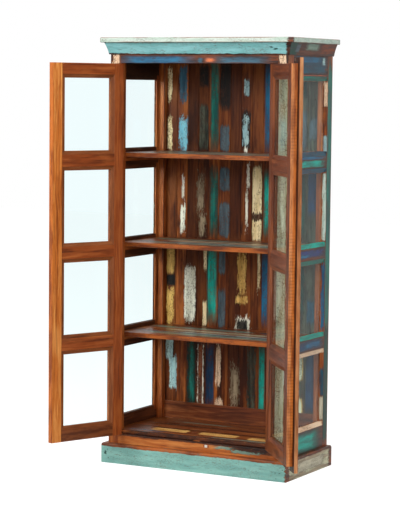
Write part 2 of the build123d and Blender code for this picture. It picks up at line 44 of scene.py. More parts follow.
# What the finishes are mixed from: bare timbers as dark, middle and light, then paints
timbers = {
    "doorOrange": (ink(128, 60, 18), ink(192, 106, 40), ink(230, 158, 84)),
    "edgeOrange": (ink(150, 86, 44), ink(206, 132, 80), ink(238, 176, 122)),
    "doorRed": (ink(84, 36, 14), ink(138, 64, 24), ink(176, 98, 46)),
    "doorDeep": (ink(52, 22, 12), ink(100, 48, 24), ink(142, 80, 44)),
    "caseBrown": (ink(62, 26, 10), ink(128, 60, 22), ink(178, 104, 50)),
    "railDeep": (ink(84, 40, 18), ink(124, 66, 32), ink(156, 92, 54)),
    "stripBrown": (ink(100, 56, 28), ink(160, 98, 56), ink(204, 146, 100)),
    "backBrown": (ink(46, 18, 7), ink(112, 52, 18), ink(166, 92, 40)),
    "darkBrown": (ink(30, 14, 9), ink(68, 34, 20), ink(112, 62, 36)),
    "floorOrange": (ink(98, 44, 18), ink(158, 84, 34), ink(200, 130, 68)),
    "greyBrown": (ink(98, 82, 62), ink(152, 134, 108), ink(196, 182, 154)),
}
paints = {
    "turquoise": (ink(132, 180, 170), ink(112, 160, 152)),
    "crownBlue": (ink(126, 180, 182), ink(104, 160, 160)),
    "mintCream": (ink(194, 206, 196), ink(170, 190, 176)),
    "paleGreen": (ink(194, 210, 198), ink(164, 188, 174)),
    "postOlive": (ink(242, 236, 204), ink(206, 200, 162)),
    "softBlue": (ink(34, 104, 138), ink(24, 76, 108)),
    "greyBlue": (ink(62, 100, 118), ink(42, 74, 92)),
    "lightBlue": (ink(130, 194, 208), ink(94, 158, 180)),
    "steelBlue": (ink(30, 80, 98), ink(18, 54, 72)),
    "seaTeal": (ink(28, 112, 98), ink(14, 76, 70)),
    "brightTeal": (ink(30, 164, 146), ink(16, 122, 110)),
    "deepGreen": (ink(22, 64, 54), ink(12, 42, 38)),
    "navy": (ink(30, 62, 92), ink(22, 44, 70)),
    "slate": (ink(82, 98, 104), ink(58, 72, 80)),
    "weathered": (ink(76, 80, 66), ink(36, 38, 32)),
    "cream": (ink(236, 216, 170), ink(214, 190, 140)),
    "peach": (ink(230, 200, 168), ink(214, 176, 142)),
    "ochre": (ink(214, 172, 96), ink(184, 140, 70)),
    "yellowOrange": (ink(232, 182, 104), ink(212, 154, 82)),
    "boneWhite": (ink(236, 232, 214), ink(206, 202, 180)),
    "mintFlake": (ink(178, 208, 204), ink(140, 174, 178)),
    "mintGrey": (ink(128, 150, 134), ink(98, 120, 108)),
    "olive": (ink(210, 206, 174), ink(182, 178, 146)),
    "warmGrey": (ink(200, 192, 168), ink(170, 162, 140)),
    # very dark paint: real marks on the back boards, and painted shade under the top board and on the
    # back top rail
    "black": (ink(26, 24, 22), ink(16, 15, 15)),
    "railShadow": (ink(52, 27, 16), ink(30, 15, 9)),
    "pink": (ink(176, 98, 70), ink(140, 72, 48)),
    "purpleBlue": (ink(46, 60, 116), ink(32, 44, 84)),
}


# A node tree being filled in: most methods add a node and give back its output
class Bench:
    def __init__(self, tree):
        self.tree = tree

    def put(self, socket, value):
        if isinstance(value, bpy.types.NodeSocket):
            self.tree.links.new(value, socket)
        elif value is not None:
            socket.default_value = value

    def add(self, kind, *values, **settings):
        node = self.tree.nodes.new(kind)
        for key, value in settings.items():
            setattr(node, key, value)
        for socket, value in zip(node.inputs, values):
            self.put(socket, value)
        return node

    def maths(self, operation, a, b=None, c=None):
        return self.add("ShaderNodeMath", a, b, c, operation=operation).outputs[0]

    def vector(self, operation, a, b=None):
        node = self.add("ShaderNodeVectorMath", a, b, operation=operation)
        return node.outputs["Value" if operation == "DOT_PRODUCT" else "Vector"]

    # Noise at a place stretched by a scale, or at the place as it is
    def noise(self, place, scale, detail, rough, out="Fac"):
        if scale:
            place = self.vector("MULTIPLY", place, scale)
        node = self.add("ShaderNodeTexNoise", place)
        node.inputs["Scale"].default_value = 1.0
        node.inputs["Detail"].default_value = detail
        node.inputs["Roughness"].default_value = rough
        return node.outputs[out]

    # 0 below low and reach above high, with an S-shaped rise between; low above high falls instead
    def rise(self, value, low, high, reach=1.0):
        node = self.add("ShaderNodeMapRange", value, interpolation_type="SMOOTHSTEP")
        self.put(node.inputs["From Min"], low)
        self.put(node.inputs["From Max"], high)
        node.inputs["To Max"].default_value = reach
        return node.outputs["Result"]

    def blend(self, share, a, b):
        node = self.tree.nodes.new("ShaderNodeMix")
        node.data_type = "RGBA"
        self.put(node.inputs[0], share)
        self.put(node.inputs[6], a)
        self.put(node.inputs[7], b)
        return node.outputs[2]

    def split(self, place):
        return self.add("ShaderNodeSeparateXYZ", place).outputs

    def join(self, x, y, z):
        return self.add("ShaderNodeCombineXYZ", x, y, z).outputs[0]

    def use(self, groupName, **values):
        node = self.tree.nodes.new("ShaderNodeGroup")
        node.node_tree = bpy.data.node_groups[groupName]
        for key, value in values.items():
            self.put(node.inputs[key], value)
        return node.outputs

    # Small relief on a shader, its depth in metres
    def bump(self, shader, height, strength, depth):
        node = self.add("ShaderNodeBump")
        node.inputs["Strength"].default_value = strength
        node.inputs["Distance"].default_value = depth
        self.put(node.inputs["Height"], height)
        self.put(shader.inputs["Normal"], node.outputs[0])


# Gives a new material, its bench and its main shader
def startMaterial(name):
    material = bpy.data.materials.new(name)
    material.use_nodes = True
    tree = material.node_tree
    return material, Bench(tree), tree.nodes["Principled BSDF"]


def placeObject(name, data):
    placed = bpy.data.objects.new(name, data)
    bpy.context.scene.collection.objects.link(placed)
    return placed


socketKinds = {"vector": "NodeSocketVector", "value": "NodeSocketFloat", "colour": "NodeSocketColor"}


# Starts a shader node group with named sockets; gives its bench, its inputs and its outputs
def startGroup(name, inputs, outputs):
    tree = bpy.data.node_groups.new(name, "ShaderNodeTree")
    for label, kind in inputs.items():
        tree.interface.new_socket(name=label, in_out="INPUT", socket_type=socketKinds[kind])
    for label, kind in outputs.items():
        tree.interface.new_socket(name=label, in_out="OUTPUT", socket_type=socketKinds[kind])
    return (Bench(tree), tree.nodes.new("NodeGroupInput").outputs,
            tree.nodes.new("NodeGroupOutput").inputs)


# How fine each noise is: its scale along the grain, then twice across it
grainScales = {
    "broad": (2.4, 24, 24), "middling": (3.2, 84, 84), "wander": (3.0, 9, 9),
    "fine": (9, 230, 230), "pores": (34, 760, 760), "cloud": (4, 15, 15),
    "flake": (38, 150, 150), "tone": (7, 46, 46), "wobble": (16, 30, 30),
    "fibre": (13, 330, 330), "sawn": (2.2, 5, 5),
    "crackCells": (70, 170, 170), "crackAreas": (9, 26, 26),
}

# The shares make up the tone; each range is the tone or noise over which an effect rises
timberBase = {
    "broadShare": 0.36, "middlingShare": 0.34, "fineShare": 0.24, "ringShare": 0.06,
    "ringLean": 0.6, "ringRate": 380.0, "ringWander": 26.0,
    "midRange": (0.36, 0.49), "lightRange": (0.49, 0.64), "poreRange": (0.6, 0.74),
    "poreDark": 0.6, "poreDepth": 0.5, "fineDepth": 0.7,
}


# Old timber, its grain along the place's X: broad bands, growth rings, fine streaks and pores
def makeTimberGroup(look):
    b, given, out = startGroup("oldTimber", {"Place": "vector", "Dark": "colour", "Mid": "colour",
                                             "Light": "colour"},
                               {"Color": "colour", "Height": "value"})
    place = given["Place"]
    broad = b.noise(place, grainScales["broad"], 4, 0.6)
    middling = b.noise(place, grainScales["middling"], 3, 0.6)
    wander = b.noise(place, grainScales["wander"], 2, 0.5)
    fine = b.noise(place, grainScales["fine"], 3, 0.6)
    pores = b.rise(b.noise(place, grainScales["pores"], 2, 0.5), *look["poreRange"])
    parts = b.split(place)
    leaning = b.maths("ADD", parts[1], b.maths("MULTIPLY", parts[2], look["ringLean"]))
    ringPlace = b.maths("ADD", b.maths("MULTIPLY", leaning, look["ringRate"]),
                        b.maths("MULTIPLY", wander, look["ringWander"]))
    rings = b.maths("MULTIPLY_ADD", b.maths("SINE", ringPlace), 0.5, 0.5)
    coarse = b.maths("ADD", b.maths("MULTIPLY", broad, look["broadShare"]),
                     b.maths("MULTIPLY", middling, look["middlingShare"]))
    close = b.maths("ADD", b.maths("MULTIPLY", fine, look["fineShare"]),
                    b.maths("MULTIPLY", rings, look["ringShare"]))
    tone = b.maths("ADD", coarse, close)
    colour = b.blend(b.rise(tone, *look["midRange"]), given["Dark"], given["Mid"])
    colour = b.blend(b.rise(tone, *look["lightRange"]), colour, given["Light"])
    colour = b.blend(b.maths("MULTIPLY", pores, look["poreDark"]), colour, given["Dark"])
    b.put(out["Color"], colour)
    b.put(out["Height"], b.maths("SUBTRACT", b.maths("MULTIPLY", fine, look["fineDepth"]),
                                 b.maths("MULTIPLY", pores, look["poreDepth"])))


flakeMiddle = 0.45  # the flake noise at which a patch keeps its own outline


# One paint patch: a rounded block about a centre, its rim eaten away by flakes
def makePatchGroup():
    b, given, out = startGroup("paintPatch", {"Place": "vector", "Centre": "vector", "Half": "vector",
                                              "Soft": "value", "Flake": "value", "Ragged": "value"},
                               {"Mask": "value"})
    away = b.vector("DIVIDE", b.vector("SUBTRACT", given["Place"], given["Centre"]), given["Half"])
    square = b.vector("MULTIPLY", away, away)
    fourth = b.vector("MULTIPLY", square, square)
    eighth = b.vector("DOT_PRODUCT", b.vector("MULTIPLY", fourth, fourth), (1.0, 1.0, 1.0))
    reach = b.maths("POWER", eighth, 1 / 8)
    flaking = b.maths("SUBTRACT", given["Flake"], flakeMiddle)
    eaten = b.maths("ADD", reach, b.maths("MULTIPLY", flaking, given["Ragged"]))
    low = b.maths("ADD", 1.0, given["Soft"])
    high = b.maths("SUBTRACT", 1.0, given["Soft"])
    b.put(out["Mask"], b.rise(eaten, low, high))


filmLook = {"paintRange": (0.38, 0.62), "rimShadeColour": (0.02, 0.012, 0.008, 1)}


# A paint film over what lies under it, with two shades of the paint and a dark line of painted shade
# at its rim
def makeFilmGroup(look):
    b, given, out = startGroup("paintFilm", {"Under": "colour", "Paint": "colour", "Shade": "colour",
                                             "Tone": "value", "Mask": "value", "Rim": "value"},
                               {"Color": "colour"})
    film = b.blend(b.rise(given["Tone"], *look["paintRange"]), given["Shade"], given["Paint"])
    colour = b.blend(given["Mask"], given["Under"], film)
    inverse = b.maths("SUBTRACT", 1.0, given["Mask"])
    # the rim's dark line, mask times its inverse, is painted shade along the paint's edge
    rim = b.maths("MULTIPLY", b.maths("MULTIPLY", given["Mask"], inverse), 4.0)
    colour = b.blend(b.maths("MULTIPLY", rim, given["Rim"]), colour, look["rimShadeColour"])
    b.put(out["Color"], colour)


crackLook = {"lineRange": (0.09, 0.01), "areaRange": (0.42, 0.62)}


# Fine cracks in old paint: the borders of long cells, only where a slow noise lets them through
def makeCrackGroup(look):
    b, given, out = startGroup("paintCracks", {"Place": "vector", "Amount": "value"},
                               {"Mask": "value"})
    stretched = b.vector("MULTIPLY", given["Place"], grainScales["crackCells"])
    cells = b.add("ShaderNodeTexVoronoi", stretched, feature="DISTANCE_TO_EDGE")
    cells.inputs["Scale"].default_value = 1.0
    lines = b.rise(cells.outputs["Distance"], *look["lineRange"])
    areas = b.rise(b.noise(given["Place"], grainScales["crackAreas"], 3, 0.6), *look["areaRange"])
    b.put(out["Mask"], b.maths("MULTIPLY", b.maths("MULTIPLY", lines, areas), given["Amount"]))


# The worn width is the stated width times (flake * flakeGain - flakeLoss)
edgeLook = {"flakeGain": 4.0, "flakeLoss": 1.1, "blur": 0.0012}


# Worn arrises: the distance to the nearest edge of a block, taken from its two corners, against
# a width that flakes vary. The distance is the second smallest of the three face distances.
def makeEdgeGroup(look):
    b, given, out = startGroup("wornEdge", {"Place": "vector", "Low": "vector", "High": "vector",
                                            "Width": "value", "Flake": "value"}, {"Mask": "value"})
    inside = b.vector("MINIMUM", b.vector("SUBTRACT", given["Place"], given["Low"]),
                      b.vector("SUBTRACT", given["High"], given["Place"]))
    x, y, z = b.split(inside)
    middle = b.maths("MAXIMUM", b.maths("MINIMUM", x, y),
                     b.maths("MINIMUM", b.maths("MAXIMUM", x, y), z))
    gain = b.maths("SUBTRACT", b.maths("MULTIPLY", given["Flake"], look["flakeGain"]),
                   look["flakeLoss"])
    width = b.maths("MULTIPLY", given["Width"], gain)
    b.put(out["Mask"], b.rise(b.maths("SUBTRACT", middle, width), look["blur"], -look["blur"]))


makeTimberGroup(timberBase)
makePatchGroup()
makeFilmGroup(filmLook)
makeCrackGroup(crackLook)
makeEdgeGroup(edgeLook)
print("shared effects made")

# Each door's hinge pin, and the turn that takes its pieces back to the closed cabinet
doorPins = {"left": ((-0.3648, -0.2175, 0.0), 112.5), "right": ((0.3648, -0.2175, 0.0), -129.3)}

# The panes' bottom edge, their pitch and their height, the same on the doors and the sides
paneBottom, panePitch, paneHeight = 0.177, 0.379825, 0.328525

# What all timber finishes share, unless a look says otherwise
finishBase = {
    "smudge": 0.45, "lightCloud": (0.5, 0.68), "darkCloud": (0.48, 0.34),
    "cracks": 0.5, "chips": 0.35, "chipRange": (0.57, 0.64),
    "warp": (0.012, 0.012, 0.012), "fibre": 0.05, "coatBlur": 0.025, "coatRim": 0.35, "rim": 0.4,
    "sawRange": (-0.2, 0.9), "sawStrength": 0.26, "sawnRange": (0.42, 0.54),
    "edgeStrength": 0.85, "gloss": 0.42, "glossSpread": 0.2, "glossRange": (0.2, 0.8),
    "woodDepth": 0.5, "filmDepth": 0.9, "bumpStrength": 0.45, "bumpDepth": 0.0009,
    "shine": 0.16, "mirrorShift": 7.0,
}


# The piece's own place; a door's piece is turned back to where it is with the door closed
def closedPlace(b, door):
    place = b.add("ShaderNodeTexCoord").outputs["Object"]
    if door:
        centre, angle = doorPins[door]
        turn = b.add("ShaderNodeVectorRotate", place, rotation_type="Z_AXIS")
        turn.inputs["Center"].default_value = centre
        turn.inputs["Angle"].default_value = math.radians(angle)
        place = turn.outputs[0]
    return place


# Gives upright beads upright grain, up to the mitre with the level ones
def mitreGrain(b, grain, orders, mitre, seed):
    x, y, z = orders["X"]
    axis, low, high = mitre
    across = {"X": x, "Y": y}[axis]
    sideways = b.maths("MINIMUM", b.maths("SUBTRACT", across, low),
                       b.maths("SUBTRACT", high, across))
    up = b.maths("MODULO", b.maths("SUBTRACT", z, paneBottom), panePitch)
    level = b.maths("MINIMUM", up, b.maths("SUBTRACT", paneHeight, up))
    upright = b.maths("LESS_THAN", sideways, level)
    turned = b.vector("ADD", b.join(*orders["Z"]), (seed + 4.0, seed, 0.3))
    change = b.vector("MULTIPLY", b.vector("SUBTRACT", turned, grain),
                      b.join(upright, upright, upright))
    return b.vector("ADD", grain, change)


# A timber finish with coats of paint all over and patches at stated places. Its own look holds:
# timber, grain (X, Y or Z) and seed; door, for a piece of that door; mirror, for a left and right
# pair; mitre (axis, low, high), for beads; boards (axis, start, pitch, strength), which gives each
# board its own grain and tone; coats, each (paint, threshold, stretch); patches, each (paint, low,
# high, soft, ragged) with low and high being corners in metres on the closed cabinet; saw, the
# pitch of saw marks; edge (bare colour, width, low, high); and any value of finishBase.
def timberFinish(name, ownLook):
    look = {**finishBase, **ownLook}
    material, b, shader = startMaterial(name)
    place = closedPlace(b, look.get("door"))
    x, y, z = b.split(place)
    side = None
    if look.get("mirror"):  # left and right pieces share the places, not the grain
        side = b.maths("SIGN", x)
        x = b.maths("ABSOLUTE", x)
        place = b.join(x, y, z)
    orders = {"X": (x, y, z), "Y": (y, z, x), "Z": (z, x, y)}
    seed = look["seed"]  # takes each piece to its own part of the endless timber
    grain = b.vector("ADD", b.join(*orders[look["grain"]]), (seed, seed * 1.7, seed * 0.6))
    if look.get("mitre"):
        grain = mitreGrain(b, grain, orders, look["mitre"], seed)
    if side is not None:
        shift = b.maths("MULTIPLY", side, look["mirrorShift"])
        grain = b.vector("ADD", grain, b.join(shift, 0.0, 0.0))
    tint = None
    if look.get("boards"):
        axis, start, pitch, strength = look["boards"]
        coordinate = {"X": x, "Y": y, "Z": z}[axis]
        number = b.maths("FLOOR", b.maths("DIVIDE", b.maths("SUBTRACT", coordinate, start), pitch))
        chance = b.add("ShaderNodeTexWhiteNoise", noise_dimensions="1D")
        b.put(chance.inputs["W"], number)
        grain = b.vector("ADD", grain, b.join(b.maths("MULTIPLY", number, 3.7), number, 0.0))
        tint = b.rise(chance.outputs["Value"], 0.0, 1.0, strength)
    dark, mid, light = timbers[look["timber"]]
    wood = b.use("oldTimber", Place=grain, Dark=dark, Mid=mid, Light=light)
    cloud = b.noise(grain, grainScales["cloud"], 4, 0.62)
    colour = b.blend(b.rise(cloud, *look["lightCloud"], look["smudge"]), wood["Color"], light)
    colour = b.blend(b.rise(cloud, *look["darkCloud"], look["smudge"]), colour, dark)
    if tint is not None:
        colour = b.blend(tint, colour, dark)
    flake = b.noise(grain, grainScales["flake"], 7, 0.74)
    tone = b.noise(grain, grainScales["tone"], 5, 0.65)
    cracks = b.use("paintCracks", Place=grain, Amount=look["cracks"])["Mask"]
    chips = b.rise(flake, *look["chipRange"], look["chips"])
    whole = b.maths("MULTIPLY", b.maths("SUBTRACT", 1.0, cracks), b.maths("SUBTRACT", 1.0, chips))
    wobble = b.noise(grain, grainScales["wobble"], 3, 0.6, "Color")
    centred = b.vector("SUBTRACT", wobble, (0.5, 0.5, 0.5))
    warped = b.vector("ADD", place, b.vector("MULTIPLY", centred, look["warp"]))
    fibre = b.noise(grain, grainScales["fibre"], 4, 0.7)
    pull = b.maths("MULTIPLY", b.maths("SUBTRACT", fibre, 0.5), look["fibre"])
    pulls = {"X": (pull, 0.0, 0.0), "Y": (0.0, pull, 0.0), "Z": (0.0, 0.0, pull)}
    warped = b.vector("ADD", warped, b.join(*pulls[look["grain"]]))
    film = None
    for number, (paint, threshold, stretch) in enumerate(look.get("coats", ())):
        apart = (number * 3.1 + 1, 0.0, 0.0)
        stretched = b.vector("ADD", b.vector("MULTIPLY", grain, stretch), apart)
        spread = b.noise(stretched, None, 6, 0.66)
        covered = b.rise(spread, threshold - look["coatBlur"], threshold + look["coatBlur"])
        mask = b.maths("MULTIPLY", covered, whole)
        bright, shade = paints[paint]
        colour = b.use("paintFilm", Under=colour, Paint=bright, Shade=shade, Tone=tone, Mask=mask,
                       Rim=look["coatRim"])["Color"]
        film = mask if film is None else b.maths("MAXIMUM", film, mask)
    for paint, low, high, soft, ragged in look.get("patches", ()):
        centre = [(p + q) / 2 for p, q in zip(low, high)]
        half = [max((q - p) / 2, 0.001) for p, q in zip(low, high)]
        mask = b.use("paintPatch", Place=warped, Centre=centre, Half=half, Soft=soft, Flake=flake,
                     Ragged=ragged)["Mask"]
        mask = b.maths("MULTIPLY", mask, whole)
        if paint in timbers:
            shade, bright = timbers[paint][:2]
        else:
            bright, shade = paints[paint]
        colour = b.use("paintFilm", Under=colour, Paint=bright, Shade=shade, Tone=tone, Mask=mask,
                       Rim=look["rim"])["Color"]
        film = mask if film is None else b.maths("MAXIMUM", film, mask)
    if look.get("saw"):  # faint saw marks straight across the board, here and there
        wave = b.maths("SINE", b.maths("MULTIPLY", z, math.tau / look["saw"]))
        marks = b.rise(wave, *look["sawRange"], look["sawStrength"])
        sawn = b.rise(b.noise(grain, grainScales["sawn"], 2, 0.5), *look["sawnRange"])
        colour = b.blend(b.maths("MULTIPLY", marks, sawn), colour, dark)
    if look.get("edge"):
        worn, width, low, high = look["edge"]
        mask = b.use("wornEdge", Place=place, Low=low, High=high, Width=width, Flake=tone)["Mask"]
        colour = b.blend(b.maths("MULTIPLY", mask, look["edgeStrength"]), colour, worn)
    b.put(shader.inputs["Base Color"], colour)
    uneven = b.rise(tone, *look["glossRange"], look["glossSpread"])
    roughness = b.maths("ADD", uneven, look["gloss"] - look["glossSpread"] / 2)
    b.put(shader.inputs["Roughness"], roughness)
    height = wood["Height"]
    if film is not None:
        height = b.maths("ADD", b.maths("MULTIPLY", height, look["woodDepth"]),
                         b.maths("MULTIPLY", film, look["filmDepth"]))
    b.bump(shader, height, look["bumpStrength"], look["bumpDepth"])
    shader.inputs["Specular IOR Level"].default_value = look["shine"]
    return material


far = 9.0  # a patch with this limit covers that whole axis


# Patches on the back boards, as (paint, left, right, bottom, top, soft, ragged) in metres
backPatches = [
    # above the upper shelf
    ("cream", -0.364, -0.340, 1.530, 1.680, 0.10, 2.0),
    ("cream", -0.364, -0.338, 1.320, 1.475, 0.10, 2.6),
    ("lightBlue", -0.302, -0.268, 1.560, 1.670, 0.2, 2.6),
    ("greyBlue", -0.306, -0.266, 1.530, 1.690, 0.12, 1.6),
    ("lightBlue", -0.308, -0.262, 1.322, 1.470, 0.08, 2.0),
    ("weathered", -0.205, -0.160, 1.325, 1.522, 0.08, 0.5),
    ("black", -0.205, -0.162, 1.600, 1.690, 0.2, 0.5),
    ("seaTeal", -0.150, -0.112, 1.345, 1.700, 0.35, 0.3),
    ("black", -0.104, -0.056, 1.505, 1.700, 0.2, 0.4),
    ("slate", -0.104, -0.058, 1.322, 1.434, 0.08, 0.6),
    ("mintFlake", 0.010, 0.036, 1.560, 1.628, 0.1, 1.2),
    ("black", 0.000, 0.042, 1.325, 1.500, 0.1, 1.2),
    ("mintFlake", 0.006, 0.034, 1.335, 1.480, 0.1, 3.6),
    ("boneWhite", 0.012, 0.030, 1.322, 1.345, 0.1, 2.0),
    ("softBlue", 0.112, 0.142, 1.350, 1.700, 0.3, 0.3),
    # between the upper and the middle shelf
    ("boneWhite", -0.290, -0.276, 1.110, 1.215, 0.1, 2.2),
    ("boneWhite", -0.296, -0.270, 0.960, 1.092, 0.08, 2.2),
    ("greyBrown", -0.216, -0.176, 1.040, 1.230, 0.15, 3.0),
    ("greyBrown", -0.204, -0.168, 0.945, 1.060, 0.15, 3.4),
    ("seaTeal", -0.148, -0.112, 0.975, 1.235, 0.35, 0.3),
    ("slate", -0.104, -0.054, 1.150, 1.250, 0.1, 0.6),
    ("slate", -0.104, -0.052, 0.950, 1.100, 0.1, 0.6),
    ("boneWhite", 0.026, 0.042, 1.160, 1.270, 0.1, 2.6),
    ("boneWhite", 0.022, 0.036, 0.985, 1.160, 0.1, 3.4),
    ("cream", 0.056, 0.102, 0.940, 1.262, 0.06, 0.35),
    ("darkBrown", 0.054, 0.104, 1.030, 1.062, 0.1, 0.6),
    ("brightTeal", 0.112, 0.140, 0.985, 1.230, 0.3, 0.3),
    # between the middle and the lower shelf
    ("ochre", -0.362, -0.322, 0.780, 0.905, 0.08, 0.6),
    ("black", -0.362, -0.318, 0.728, 0.778, 0.1, 0.3),
    ("ochre", -0.362, -0.322, 0.556, 0.722, 0.08, 2.4),
    ("boneWhite", -0.274, -0.216, 0.570, 0.815, 0.06, 1.0),
    ("cream", -0.178, -0.162, 0.800, 0.900, 0.1, 1.0),
    ("cream", -0.180, -0.160, 0.556, 0.670, 0.1, 1.2),
    ("brightTeal", -0.158, -0.114, 0.590, 0.890, 0.3, 0.3),
    ("slate", -0.104, -0.070, 0.790, 0.900, 0.12, 0.6),
    ("slate", -0.106, -0.068, 0.556, 0.722, 0.12, 0.6),
    ("ochre", -0.020, 0.040, 0.665, 0.700, 0.08, 2.0),
    ("ochre", -0.014, 0.034, 0.700, 0.900, 0.08, 2.8),
    ("boneWhite", -0.022, 0.052, 0.535, 0.610, 0.06, 2.2),
    ("black", -0.012, 0.040, 0.545, 0.596, 0.06, 1.4),
    ("cream", 0.084, 0.098, 0.728, 0.905, 0.1, 2.2),
    ("softBlue", 0.106, 0.134, 0.590, 0.885, 0.25, 0.4),
    # below the lower shelf
    ("mintFlake", -0.364, -0.326, 0.400, 0.500, 0.08, 1.2),
    ("mintFlake", -0.344, -0.306, 0.270, 0.420, 0.08, 1.4),
    ("deepGreen", -0.256, -0.212, 0.196, 0.486, 0.12, 1.4),
    ("seaTeal", -0.242, -0.220, 0.215, 0.470, 0.3, 1.6),
    ("boneWhite", -0.204, -0.172, 0.185, 0.486, 0.06, 1.8),
    ("caseBrown", -0.200, -0.178, 0.195, 0.490, 0.1, 0.9),
    ("navy", -0.162, -0.122, 0.215, 0.476, 0.25, 0.4),
    ("peach", -0.114, -0.088, 0.295, 0.486, 0.08, 1.8),
    ("peach", -0.116, -0.076, 0.165, 0.245, 0.08, 1.1),
    ("greyBrown", -0.044, 0.004, 0.215, 0.400, 0.2, 3.6),
    ("weathered", 0.040, 0.084, 0.185, 0.486, 0.1, 1.8),
    ("brightTeal", 0.098, 0.124, 0.200, 0.486, 0.3, 0.4),
    # the part that the right door hides
    ("weathered", 0.158, 0.376, 0.150, 1.720, 0.2, 0.2),
    ("weathered", 0.160, 0.202, 1.350, 1.560, 0.1, 1.0),
    ("steelBlue", 0.212, 0.254, 1.540, 1.700, 0.2, 0.8),
    ("slate", 0.264, 0.306, 1.340, 1.500, 0.1, 1.0),
    ("deepGreen", 0.264, 0.306, 1.560, 1.700, 0.2, 0.7),
    ("slate", 0.318, 0.358, 1.380, 1.470, 0.1, 1.2),
    ("greyBrown", 0.160, 0.200, 0.980, 1.200, 0.1, 1.9),
    ("deepGreen", 0.264, 0.304, 0.960, 1.240, 0.3, 0.6),
    ("navy", 0.318, 0.360, 1.060, 1.290, 0.2, 0.9),
    ("weathered", 0.212, 0.252, 0.570, 0.860, 0.1, 0.8),
    ("navy", 0.160, 0.200, 0.600, 0.900, 0.25, 0.4),
    ("deepGreen", 0.264, 0.306, 0.640, 0.880, 0.1, 0.7),
    ("steelBlue", 0.318, 0.358, 0.600, 0.700, 0.2, 1.0),
    ("ochre", 0.268, 0.307, 0.350, 0.463, 0.1, 0.5),
    ("ochre", 0.268, 0.307, 0.160, 0.278, 0.1, 0.5),
    ("olive", 0.270, 0.302, 0.356, 0.458, 0.1, 0.5),
    ("olive", 0.270, 0.302, 0.166, 0.272, 0.1, 0.5),
    ("navy", 0.318, 0.358, 0.220, 0.500, 0.1, 0.9),
]


# The y range that takes in the back boards' inner face alone
backLow, backHigh = 0.180, 0.199


def onBack(rows):
    return [(paint, (x0, backLow, z0), (x1, backHigh, z1), soft, ragged)
            for paint, x0, x1, z0, z1, soft, ragged in rows]


# The x range that takes in an outer side face, and the y range of the front face
sideLow, sideHigh = 0.404, 0.426
frontLow, frontHigh = -0.222, -0.2085


def onSide(rows):
    return [(paint, (sideLow, y0, z0), (sideHigh, y1, z1), soft, ragged)
            for paint, y0, y1, z0, z1, soft, ragged in rows]


